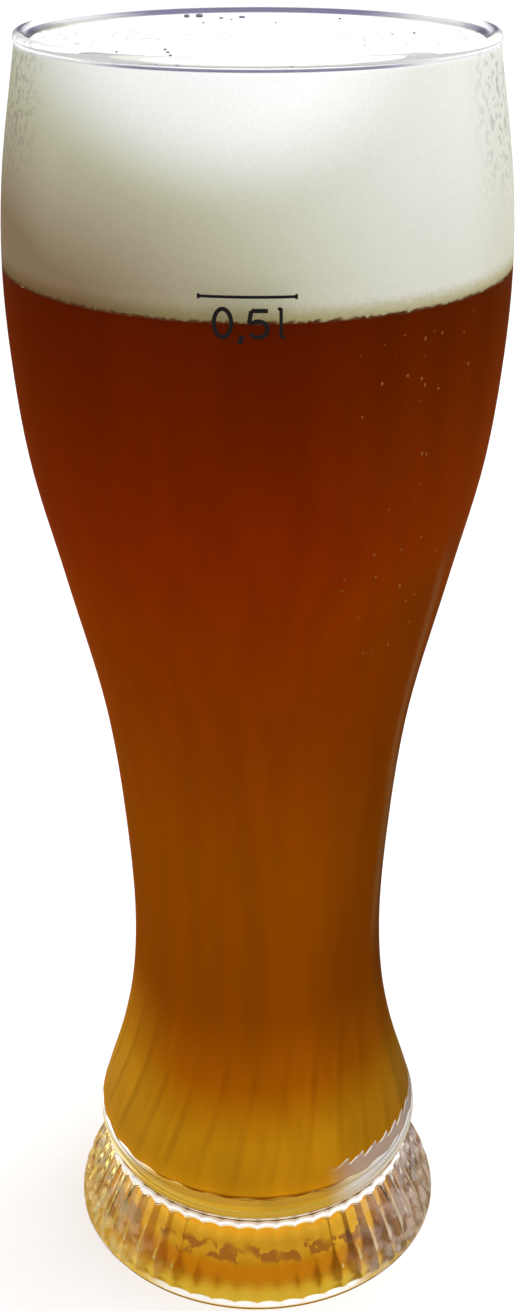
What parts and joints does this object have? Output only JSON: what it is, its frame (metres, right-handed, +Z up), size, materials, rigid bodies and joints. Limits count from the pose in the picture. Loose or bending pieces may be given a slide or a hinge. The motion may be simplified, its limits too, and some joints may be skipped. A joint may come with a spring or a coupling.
{
  "type": "glass of wheat beer",
  "caption": "Tall waisted wheat beer glass with a thick fluted foot, filled with hazy amber beer and topped by a white head of foam.",
  "frame": {"origin": "middle of the underside of the foot, on the surface the glass stands on", "axes": "+Z up along the glass, which is round about it; the fill mark faces -Y"},
  "size_m": [0.0848, 0.0848, 0.238],
  "materials": {
    "clear_glass": "clear, fire polished",
    "beer": "hazy amber liquid",
    "foam": "fine white froth"
  },
  "bodies": {
    "root": {"glass": "clear_glass", "beer": "beer", "foam": "foam"}
  },
  "joints": []
}
